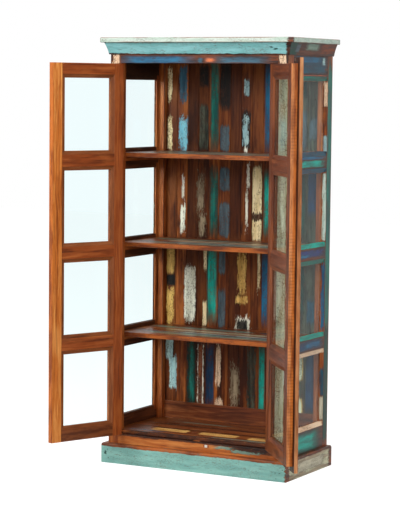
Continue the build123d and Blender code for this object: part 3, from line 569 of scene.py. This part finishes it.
looks = {
    "topBoardPaint": dict(timber="caseBrown", grain="X", seed=1.3, cracks=0.35, gloss=0.4,
        coats=[("mintCream", 0.30, (3, 22, 22))],
        patches=[("paleGreen", (0.4395, -0.30, 1.76), (0.46, 0.30, 1.82), 0.02, 0.2),
                 ("paleGreen", (-0.46, -0.30, 1.76), (-0.4395, 0.30, 1.82), 0.02, 0.2),
                 ("caseBrown", (0.424, -0.26, 1.77), (0.452, -0.232, 1.81), 0.1, 0.9),
                 # below z 1.7798 the underside takes the very dark paint: painted shade under the top
                 # board
                 ("black", (-far, -far, 1.76), (far, far, 1.7798), 0.004, 0.0)],
        edge=(ink(120, 74, 48), 0.0022, (-0.446, -0.2465, 1.779), (0.446, 0.2125, 1.800))),
    "crownFrontPaint": dict(timber="caseBrown", grain="X", seed=2.1, cracks=0.25, gloss=0.4,
        coats=[("crownBlue", 0.27, (2.5, 20, 20))],
        patches=[("deepGreen", (0.336, -far, 1.757), (0.352, far, 1.764), 0.2, 2.2),
                 ("deepGreen", (0.352, -far, 1.748), (0.366, far, 1.756), 0.2, 2.2),
                 ("darkBrown", (0.408, -far, 1.70), (0.46, far, 1.80), 0.01, 0.1),
                 ("darkBrown", (-far, -far, 1.70), (far, far, 1.7335), 0.01, 0.05)]),
    "crownSidePaint": dict(timber="darkBrown", grain="Y", seed=2.9, mirror=True, cracks=0.3, gloss=0.4,
        patches=[("deepGreen", (0.36, -0.26, 1.725), (0.46, -0.155, 1.795), 0.15, 0.6),
                 ("slate", (0.36, -0.170, 1.740), (0.45, -0.135, 1.775), 0.3, 0.9),
                 ("mintGrey", (0.36, -0.075, 1.750), (0.45, 0.045, 1.778), 0.3, 1.2),
                 ("caseBrown", (0.36, 0.06, 1.735), (0.45, 0.22, 1.785), 0.3, 0.9)]),
    "friezeWood": dict(timber="darkBrown", grain="X", seed=3.3, cracks=0.1, gloss=0.36,
        patches=[("backBrown", (-far, -far, 1.694), (far, far, 1.735), 0.02, 0.3),
                 ("softBlue", (-0.345, -far, 1.694), (-0.045, far, 1.722), 0.35, 0.25),
                 ("greyBlue", (0.000, -far, 1.696), (0.020, far, 1.716), 0.4, 0.3),
                 ("greyBlue", (0.090, -far, 1.696), (0.305, far, 1.720), 0.4, 0.3),
                 ("pink", (0.033, -far, 1.698), (0.080, far, 1.717), 0.35, 0.4)]),
    "bottomRailWood": dict(timber="floorOrange", grain="X", seed=3.9, cracks=0.2, gloss=0.36,
        patches=[("mintGrey", (0.080, -far, 0.104), (0.19, far, 0.119), 0.2, 3.4),
                 ("darkBrown", (0.18, -far, 0.100), (0.36, far, 0.122), 0.3, 1.0),
                 ("mintGrey", (0.17, -far, 0.094), (0.315, far, 0.108), 0.2, 3.8),
                 # the darkBrown band along the rail's top, z 0.1185 to 0.130, is painted shadow under
                 # the edge above it
                 ("darkBrown", (-0.364, -far, 0.1185), (0.364, far, 0.130), 0.1, 0.5)]),
    "frontPostPaint": dict(timber="caseBrown", grain="Z", seed=4.3, mirror=True, cracks=0.9, gloss=0.4,
        patches=[("postOlive", (0.3662, frontLow, 0.126), (0.4138, frontHigh, 1.6935), 0.01, 0.10),
                 ("darkBrown", (0.30, frontLow, 1.6945), (0.50, frontHigh, 1.79), 0.02, 0.3),
                 ("peach", (0.3700, frontLow, 1.692), (0.404, frontHigh, 1.729), 0.05, 1.1)] + onSide([
                 ("deepGreen", -0.205, -0.166, 1.31, 1.64, 0.1, 0.8),
                 ("steelBlue", -0.205, -0.166, 0.56, 0.95, 0.2, 0.8),
                 ("seaTeal", -0.205, -0.166, 0.95, 1.28, 0.2, 1.2)]),
        edge=(ink(150, 88, 52), 0.0016, (0.366, -0.2125, 0.0), (0.414, -0.1655, 1.779))),
    "rearPostPaint": dict(timber="caseBrown", grain="Z", seed=4.9, mirror=True, cracks=0.2, gloss=0.38,
        patches=onSide([("seaTeal", 0.168, 0.209, 0.56, 1.70, 0.06, 0.35),
                        ("deepGreen", 0.168, 0.209, 0.10, 0.60, 0.06, 0.5)]),
        edge=(ink(60, 34, 24), 0.0022, (0.366, 0.1655, 0.0), (0.414, 0.2125, 1.779))),
    "sideTopPaint": dict(timber="darkBrown", grain="Y", seed=5.3, mirror=True, cracks=0.3, gloss=0.36,
        patches=onSide([("steelBlue", -0.16, 0.15, 1.656, 1.727, 0.08, 0.7),
                        ("softBlue", -0.13, 0.10, 1.700, 1.724, 0.3, 1.4),
                        ("mintFlake", 0.11, 0.135, 1.690, 1.720, 0.3, 1.2),
                        ("pink", -0.16, 0.16, 1.6475, 1.6505, 0.2, 0.5)])
                + [("railShadow", (0.386, -0.170, 1.63), (0.401, 0.170, 1.79), 0.1, 0.4)]),
    "sideMidPaint": dict(timber="darkBrown", grain="Y", seed=5.9, mirror=True, cracks=0.3, gloss=0.36,
        patches=onSide([("softBlue", -0.16, 0.15, 1.304, 1.316, 0.2, 1.4),
                        ("brightTeal", -0.10, 0.13, 1.272, 1.300, 0.25, 1.1),
                        ("purpleBlue", -0.15, 0.15, 0.898, 0.928, 0.3, 1.3),
                        ("softBlue", -0.15, 0.02, 0.900, 0.912, 0.3, 2.0),
                        ("navy", -0.15, 0.15, 0.512, 0.552, 0.15, 1.3),
                        ("softBlue", -0.02, 0.13, 0.520, 0.544, 0.3, 1.6)])),
    "sideBottomPaint": dict(timber="darkBrown", grain="Y", seed=6.4, mirror=True, cracks=0.1,
        gloss=0.36,
        patches=onSide([("seaTeal", -0.155, 0.115, 0.090, 0.168, 0.3, 0.4),
                        ("brightTeal", -0.130, 0.085, 0.098, 0.160, 0.35, 0.35)])),
    "sideBeadPaint": dict(timber="caseBrown", grain="Y", seed=7.1, mirror=True, cracks=0.4, gloss=0.4,
        mitre=("Y", -0.1655, 0.1655), warp=(0.004, 0.004, 0.004),
        patches=onSide([("seaTeal", -0.168, 0.168, 1.6255, 1.648, 0.02, 0.3),
                        ("peach", 0.145, 0.168, 1.52, 1.626, 0.05, 1.1),
                        ("floorOrange", 0.145, 0.168, 1.44, 1.52, 0.1, 0.6),
                        ("mintFlake", 0.145, 0.168, 1.33, 1.40, 0.1, 0.7),
                        ("steelBlue", -0.168, 0.168, 1.314, 1.3360, 0.02, 0.4),
                        ("steelBlue", -0.168, 0.168, 1.2455, 1.268, 0.02, 0.5),
                        ("paleGreen", 0.145, 0.168, 0.958, 1.246, 0.02, 0.3),
                        ("brightTeal", -0.168, 0.168, 0.934, 0.9565, 0.02, 0.3),
                        ("seaTeal", -0.168, 0.168, 0.8655, 0.888, 0.02, 0.5),
                        ("softBlue", 0.145, 0.168, 0.58, 0.866, 0.05, 0.8),
                        ("brightTeal", -0.168, 0.168, 0.554, 0.5765, 0.02, 0.3),
                        ("peach", -0.168, 0.168, 0.4855, 0.508, 0.02, 0.3),
                        ("steelBlue", 0.145, 0.168, 0.30, 0.42, 0.1, 0.9),
                        ("warmGrey", 0.145, 0.168, 0.198, 0.30, 0.1, 0.7),
                        ("peach", -0.168, 0.168, 0.174, 0.1965, 0.02, 0.3)])),
    "backBoardPaint": dict(timber="backBrown", grain="Z", seed=8.2, cracks=0.55, gloss=0.46,
        chips=0.8, smudge=0.85, shine=0.1,
        boards=("X", -0.366, 0.0522857, 0.75), warp=(0.006, 0.0, 0.022), patches=onBack(backPatches)),
    "backRailWood": dict(timber="doorDeep", grain="X", seed=8.8, cracks=0.0, gloss=0.36, rim=0.0,
        # above z 1.60 the very dark paint is painted shade at the top of the back, under the top board
        patches=[("black", (-far, -far, 1.60), (far, far, 1.80), 0.02, 0.0)]),
    "plainCaseWood": dict(timber="caseBrown", grain="Y", seed=9.2, cracks=0.0, gloss=0.45),
    "floorBoardPaint": dict(timber="caseBrown", grain="X", seed=9.9, cracks=0.4, gloss=0.34,
        boards=("Y", -0.165, 0.1103, 0.4), warp=(0.012, 0.004, 0.0), fibre=0.012,
        patches=[("darkBrown", (-0.37, -0.1885, 0.0), (0.37, -0.176, 0.3), 0.2, 0.9),
                 ("darkBrown", (-0.39, -0.062, 0.0), (0.39, -0.046, 0.3), 0.2, 1.4),
                 ("yellowOrange", (-0.262, -0.130, 0.0), (-0.086, -0.070, 0.3), 0.04, 0.4),
                 ("yellowOrange", (-0.032, -0.132, 0.0), (0.150, -0.076, 0.3), 0.04, 0.4),
                 ("yellowOrange", (0.205, -0.140, 0.0), (0.33, -0.086, 0.3), 0.04, 0.4),
                 ("darkBrown", (-0.37, 0.015, 0.0), (0.30, 0.045, 0.3), 0.2, 1.6),
                 ("mintGrey", (-0.25, 0.096, 0.0), (0.02, 0.112, 0.3), 0.2, 1.9),
                 ("mintGrey", (0.05, -0.170, 0.0), (0.34, -0.152, 0.3), 0.2, 2.0),
                 ("greyBlue", (-0.36, -0.160, 0.0), (-0.16, -0.144, 0.3), 0.2, 1.9)]),
    "plinthFrontPaint": dict(timber="caseBrown", grain="X", seed=10.4, cracks=0.2, gloss=0.42,
        coats=[("turquoise", 0.27, (2.2, 18, 18))],
        patches=[("floorOrange", (-far, -far, 0.0715), (far, far, 0.10), 0.03, 0.6),
                 ("deepGreen", (-0.422, -far, 0.036), (-0.412, far, 0.050), 0.2, 0.5),
                 ("caseBrown", (0.431, -far, -0.01), (0.445, far, 0.10), 0.1, 0.9)]),
    "plinthSidePaint": dict(timber="greyBrown", grain="Y", seed=10.9, mirror=True, cracks=0.4,
        gloss=0.42,
        coats=[("olive", 0.46, (2.5, 20, 20))],
        patches=[("warmGrey", (-far, -0.12, 0.020), (far, 0.13, 0.062), 0.15, 1.0),
                 ("caseBrown", (-far, -far, 0.073), (far, far, 0.10), 0.05, 1.4),
                 ("caseBrown", (-far, 0.180, -0.01), (far, 0.30, 0.10), 0.1, 0.8),
                 ("caseBrown", (-far, -0.30, -0.01), (far, -0.200, 0.10), 0.05, 0.8)]),
}

shelfSeeds = {"shelf_upper": 11.3, "shelf_middle": 12.1, "shelf_lower": 13.7}
for shelf, seed in shelfSeeds.items():
    looks[shelf + "Paint"] = dict(timber="caseBrown", grain="X", seed=seed, cracks=0.4, gloss=0.32,
        boards=("Y", -0.123, 0.096, 0.35), warp=(0.012, 0.003, 0.0),
        patches=[("mintGrey", (-0.30, -0.120, -far), (0.40, -0.074, far), 0.04, 0.8),
                 ("greyBlue", (-0.37, -0.072, -far), (0.40, -0.048, far), 0.1, 1.4),
                 ("paleGreen", (-0.20, -0.045, -far), (0.40, -0.028, far), 0.1, 1.2),
                 ("olive", (-0.28, 0.004, -far), (0.30, 0.038, far), 0.1, 0.9),
                 ("mintGrey", (-0.37, 0.070, -far), (0.12, 0.120, far), 0.06, 0.8),
                 ("slate", (0.14, 0.074, -far), (0.40, 0.120, far), 0.06, 0.9),
                 ("floorOrange", (-far, -0.1800, -far), (far, -0.1642, far), 0.02, 0.0)])

# Places on a closed door, from the cabinet's middle towards the hinge; railTop is a height
doorSizes = {"edgeDepth": 0.0034, "holeInner": 0.0495, "holeOuter": 0.3156, "railTop": 0.178}
doorLooks = {
    "left": dict(way=-1, seed=0.0, hinge="doorRed", free="doorOrange", rails="doorRed",
                 edge="doorOrange", beads="railDeep", saw=0.0),
    "right": dict(way=1, seed=6.3, hinge="doorDeep", free="doorDeep", rails="doorDeep",
                  edge="edgeOrange", beads="doorDeep", saw=0.0125),
}
still = (0.0, 0.0, 0.0)
for door, own in doorLooks.items():
    shared = dict(door=door, gloss=0.36, cracks=0.0)
    edgeLow, edgeHigh = sorted((0.0, own["way"] * doorSizes["edgeDepth"]))
    holeLow, holeHigh = sorted((own["way"] * doorSizes["holeInner"],
                                own["way"] * doorSizes["holeOuter"]))
    looks[door + "HingeStile"] = dict(shared, timber=own["hinge"], grain="Z",
        seed=14.1 + own["seed"])
    looks[door + "FreeStile"] = dict(shared, timber=own["free"], grain="Z",
        seed=15.3 + own["seed"], saw=own["saw"], rim=0.0, warp=still,
        # the free edge face takes the door's edge timber; the right door's lighter edgeOrange is
        # partly the edge's own colour and partly a painted highlight
        patches=[(own["edge"], (edgeLow, -0.25, 0.0), (edgeHigh, -0.1865, 2.0), 0.02, 0.0),
                 ("doorOrange", (-0.1, -0.225, -1.0), (0.1, -0.2005, 3.0), 0.01, 0.0)])
    looks[door + "Rails"] = dict(shared, timber=own["rails"], grain="X", seed=16.7 + own["seed"],
        rim=0.0, patches=[("railDeep", (-1.0, -1.0, 0.0), (1.0, 1.0, doorSizes["railTop"]),
                           0.01, 0.0)])
    looks[door + "Beads"] = dict(shared, timber=own["beads"], grain="X", seed=17.9 + own["seed"],
        mitre=("X", holeLow, holeHigh))
looks["overlapStrip"] = dict(timber="stripBrown", grain="Z", seed=19.2, door="right", gloss=0.36,
    cracks=0.0, rim=0.0, warp=still,
    # the back face is painted dark brown, partly the strip's own stain and partly painted shade on
    # that unlit face
    patches=[("darkBrown", (-0.10, -0.2152, -1.0), (0.15, -0.2100, 3.0), 0.01, 0.0)])

finishes = {name: timberFinish(name, look) for name, look in looks.items()}
print("timber finishes made:", len(finishes))

glassLook = {
    "tint": ink(241, 254, 255), "shadowTint": ink(240, 252, 252), "bend": 1.12,
    "rippleScale": (5, 5, 3), "rippleStrength": 0.15, "rippleDepth": 0.002,
    "smearScale": (22, 22, 60), "smearRange": (0.6, 0.9), "smearRoughness": 0.02,
}


# Clear float glass with a faint cool tint; light rays that only carry shadow pass straight through
def makeGlass(look):
    material, b, shader = startMaterial("clearGlass")
    shader.inputs["Base Color"].default_value = look["tint"]
    shader.inputs["Metallic"].default_value = 0.0
    shader.inputs["Transmission Weight"].default_value = 1.0
    shader.inputs["IOR"].default_value = look["bend"]
    place = closedPlace(b, None)
    ripple = b.noise(place, look["rippleScale"], 2, 0.5)
    smear = b.noise(place, look["smearScale"], 4, 0.6)
    roughness = b.rise(smear, *look["smearRange"], look["smearRoughness"])
    b.put(shader.inputs["Roughness"], roughness)
    b.bump(shader, ripple, look["rippleStrength"], look["rippleDepth"])
    clear = b.add("ShaderNodeBsdfTransparent", look["shadowTint"])
    rays = b.add("ShaderNodeLightPath").outputs
    both = b.add("ShaderNodeMixShader", rays["Is Shadow Ray"], shader.outputs[0], clear.outputs[0])
    b.put(b.tree.nodes["Material Output"].inputs["Surface"], both.outputs[0])
    return material


# Each steel's bright and dull colours. The catches' lid colour covers them all but for the lower
# one's magnet, which is a round place about centre.
steelLooks = {
    "hingeSteel": dict(bright=ink(168, 160, 146), dull=ink(104, 96, 84), seed=0.4),
    "catchSteel": dict(bright=ink(226, 222, 214), dull=ink(170, 164, 154), seed=1.9,
                       lid=ink(150, 84, 54), centre=(0.057, 0.0, 0.111),
                       half=(0.0062, far, 0.0062)),
    "strikeSteel": dict(bright=ink(206, 160, 132), dull=ink(150, 104, 78), seed=2.6),
    "nailIron": dict(bright=ink(58, 54, 50), dull=ink(30, 28, 26), seed=3.3),
}
steelBase = {
    "streakScale": (900, 900, 60), "spotScale": (260, 260, 260), "spotRange": (0.54, 0.68),
    "spotColour": ink(82, 52, 34), "spotShare": 0.7, "spotRoughness": 0.4, "roughness": 0.28,
    "bumpStrength": 0.3, "bumpDepth": 0.0002,
}


# Dulled steel: brushed streaks, brown spots and darker hollows
def makeSteel(name):
    look = {**steelBase, **steelLooks[name]}
    material, b, shader = startMaterial(name)
    raw = closedPlace(b, None)
    place = b.vector("ADD", raw, (look["seed"],) * 3)
    streak = b.noise(place, look["streakScale"], 3, 0.6)
    spots = b.rise(b.noise(place, look["spotScale"], 5, 0.7), *look["spotRange"])
    colour = b.blend(streak, look["dull"], look["bright"])
    if "lid" in look:
        magnet = b.use("paintPatch", Place=raw, Centre=look["centre"], Half=look["half"], Soft=0.1,
                       Flake=flakeMiddle, Ragged=0.0)["Mask"]
        colour = b.blend(magnet, look["lid"], colour)
    colour = b.blend(b.maths("MULTIPLY", spots, look["spotShare"]), colour, look["spotColour"])
    b.put(shader.inputs["Base Color"], colour)
    shader.inputs["Metallic"].default_value = 1.0
    rough = b.maths("ADD", b.maths("MULTIPLY", spots, look["spotRoughness"]), look["roughness"])
    b.put(shader.inputs["Roughness"], rough)
    b.bump(shader, b.maths("SUBTRACT", streak, spots), look["bumpStrength"], look["bumpDepth"])
    return material


def assign(material, *names):
    for name in names:
        slots = nodes[name].data.materials
        slots.clear()
        slots.append(material)


glass = makeGlass(glassLook)
hingeSteel = makeSteel("hingeSteel")
caseFinishes = {
    "topBoardPaint": ["top_board"],
    "crownFrontPaint": ["crown_front"],
    "crownSidePaint": ["crown_left", "crown_right"],
    "friezeWood": ["frieze_rail"],
    "bottomRailWood": ["bottom_rail"],
    "frontPostPaint": ["front_post_left", "front_post_right"],
    "rearPostPaint": ["rear_post_left", "rear_post_right"],
    "sideTopPaint": ["side_top_rail_left", "side_top_rail_right"],
    "sideMidPaint": ["side_mid_rails_left", "side_mid_rails_right"],
    "sideBottomPaint": ["side_bottom_rail_left", "side_bottom_rail_right"],
    "sideBeadPaint": ["side_beads_left", "side_beads_right"],
    "backBoardPaint": ["back_boards"],
    "backRailWood": ["back_bottom_rail", "back_top_rail", "back_battens"],
    "plainCaseWood": ["shelf_cleats", "centre_bearer"],
    "floorBoardPaint": ["floor_boards"],
    "plinthFrontPaint": ["plinth_front"],
    "plinthSidePaint": ["plinth_left", "plinth_right"],
    "overlapStrip": ["overlap_strip"],
}
for finishName, pieces in caseFinishes.items():
    assign(finishes[finishName], *pieces)
for shelf in shelfSeeds:
    assign(finishes[shelf + "Paint"], shelf)
for door in doorLooks:
    assign(finishes[door + "HingeStile"], door + "_door_hinge_stile")
    assign(finishes[door + "FreeStile"], door + "_door_free_stile")
    assign(finishes[door + "Rails"], door + "_door_bottom_rail", door + "_door_mid_rails",
           door + "_door_top_rail")
    assign(finishes[door + "Beads"], door + "_door_beads")
    assign(glass, door + "_door_glass", "side_glass_" + door)
    assign(hingeSteel, door + "_door_hinge_leaves", door + "_door_hinge_screws")
assign(hingeSteel, "case_hinge_leaves", "case_hinge_screws", "hinge_pins")
assign(makeSteel("catchSteel"), "magnet_catches")
assign(makeSteel("strikeSteel"), "strike_plates")
print("finishes placed")

# Nails on the plinth's front, at (x, z) in the plane of its face
nailLook = {"radius": 0.0021, "height": 0.0007, "rings": 4, "spokes": 14, "plane": -0.2345,
            "places": [(0.388, 0.036), (0.407, 0.036), (0.420, 0.050), (0.392, 0.012),
                       (-0.415, 0.043), (-0.402, 0.022), (-0.405, 0.058)]}


# Domed nail heads: the radius runs from 0 to the rim while the height falls as a quarter circle;
# each head is the same grid of rings and spokes, moved to its own place
def makeNails(look):
    rings, spokes = look["rings"], look["spokes"]
    turn = np.arange(spokes) * 2 * math.pi / spokes
    share = (np.arange(rings) + 1) / rings
    radius = look["radius"] * np.sin(share * math.pi / 2)
    height = look["height"] * np.cos(share * math.pi / 2)
    x = np.concatenate([[0.0], (radius[:, None] * np.cos(turn)).ravel()])
    z = np.concatenate([[0.0], (radius[:, None] * np.sin(turn)).ravel()])
    y = -np.concatenate([[look["height"]], np.repeat(height, spokes)])
    head = np.stack([x, y, z], axis=1)
    faces = [(0, 1 + s, 1 + (s + 1) % spokes) for s in range(spokes)]
    for ring in range(rings - 1):
        a = 1 + ring * spokes
        faces += [(a + s, a + spokes + s, a + spokes + (s + 1) % spokes, a + (s + 1) % spokes)
                  for s in range(spokes)]
    points, allFaces = [], []
    for count, (px, pz) in enumerate(look["places"]):
        points.append(head + np.array([px, look["plane"], pz]))
        allFaces += [tuple(v + count * len(head) for v in face) for face in faces]
    mesh = bpy.data.meshes.new("plinthNails")
    mesh.from_pydata(np.concatenate(points).tolist(), [], allFaces)
    mesh.polygons.foreach_set("use_smooth", np.ones(len(allFaces), dtype=bool))
    nails = placeObject("plinthNails", mesh)
    mesh.materials.append(makeSteel("nailIron"))
    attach(nails, "case")
    print("nail heads:", len(look["places"]))


makeNails(nailLook)

# The floor, its own colour lifted to white for the camera, keeping the cabinet's shadow
floorLook = {"halfSize": 14.0, "albedo": 0.45, "roughness": 0.9, "lift": 0.74, "throughGlass": 0.68}


def makeFloor(look):
    s = look["halfSize"]
    mesh = bpy.data.meshes.new("floorPlane")
    mesh.from_pydata([(-s, -s, 0), (s, -s, 0), (s, s, 0), (-s, s, 0)], [], [(0, 1, 2, 3)])
    plane = placeObject("floorPlane", mesh)
    material, b, shader = startMaterial("paleFloor")
    shader.inputs["Base Color"].default_value = (look["albedo"],) * 3 + (1,)
    shader.inputs["Roughness"].default_value = look["roughness"]
    shader.inputs["Specular IOR Level"].default_value = 0.0
    rays = b.add("ShaderNodeLightPath").outputs
    passed = b.maths("MAXIMUM", rays["Is Glossy Ray"], rays["Is Transmission Ray"])
    seen = b.maths("MAXIMUM", b.maths("MULTIPLY", rays["Is Camera Ray"], look["lift"]),
                   b.maths("MULTIPLY", passed, look["throughGlass"]))
    shader.inputs["Emission Color"].default_value = (1, 1, 1, 1)
    b.put(shader.inputs["Emission Strength"], seen)
    mesh.materials.append(material)


makeFloor(floorLook)

studioLook = {
    "ambient": (1.0, 0.99, 0.97, 1), "ambientStrength": 0.66,
    "lamps": {  # place, aim, size across, power in watts
        "keyLamp": ((-2.6, -5.2, 3.4), (0.0, 0.0, 0.9), 2.6, 232.0),
        "fillLamp": ((3.6, -4.6, 2.6), (0.0, 0.0, 0.9), 2.4, 112.0),
        "topLamp": ((0.6, -0.6, 4.6), (0.0, 0.0, 0.9), 2.4, 60.0),
    },
}


# White for the camera, for mirrored and for passed rays; a softer light for all others
def makeStudio(look):
    world = bpy.data.worlds.new("paleStudio")
    bpy.context.scene.world = world
    world.use_nodes = True
    b = Bench(world.node_tree)
    back = b.tree.nodes["Background"]
    rays = b.add("ShaderNodeLightPath").outputs
    seen = b.maths("MAXIMUM", rays["Is Camera Ray"],
                   b.maths("MAXIMUM", rays["Is Glossy Ray"], rays["Is Transmission Ray"]))
    b.put(back.inputs["Color"], b.blend(seen, look["ambient"], (1, 1, 1, 1)))
    strength = b.maths("ADD", b.maths("MULTIPLY", seen, 1.0 - look["ambientStrength"]),
                       look["ambientStrength"])
    b.put(back.inputs["Strength"], strength)
    for name, (place, aim, size, power) in look["lamps"].items():
        data = bpy.data.lights.new(name, "AREA")
        data.size = size
        data.energy = power
        lamp = placeObject(name, data)
        lamp.location = place
        direction = Vector(aim) - Vector(place)
        lamp.rotation_euler = direction.to_track_quat("-Z", "Y").to_euler()


makeStudio(studioLook)
bpy.context.scene.view_settings.view_transform = "Standard"

# Angles in degrees, the lens and the sensor in millimetres
cameraLook = {"place": (3.8570, -7.3891, 1.5997), "azimuth": 28.133, "elevation": 4.913,
              "roll": 0.58, "lens": 178.07, "sensor": 36.0, "reach": 60.0}


# The camera looks along its azimuth and elevation; its right and up turn by the roll about that
def makeCamera(look):
    azimuth, elevation, roll = (math.radians(look[k]) for k in ("azimuth", "elevation", "roll"))
    ahead = Vector((-math.sin(azimuth) * math.cos(elevation),
                    math.cos(azimuth) * math.cos(elevation), -math.sin(elevation)))
    right = Vector((math.cos(azimuth), math.sin(azimuth), 0))
    up = right.cross(ahead)
    rightTurned = right * math.cos(roll) + up * math.sin(roll)
    upTurned = up * math.cos(roll) - right * math.sin(roll)
    data = bpy.data.cameras.new("photoCamera")
    data.sensor_fit = "HORIZONTAL"
    data.sensor_width = look["sensor"]
    data.lens = look["lens"]
    data.clip_end = look["reach"]
    camera = placeObject("photoCamera", data)
    turn = Matrix((rightTurned, upTurned, -ahead)).transposed().to_4x4()
    camera.matrix_world = Matrix.Translation(look["place"]) @ turn
    bpy.context.scene.camera = camera


makeCamera(cameraLook)
print("studio and camera ready")
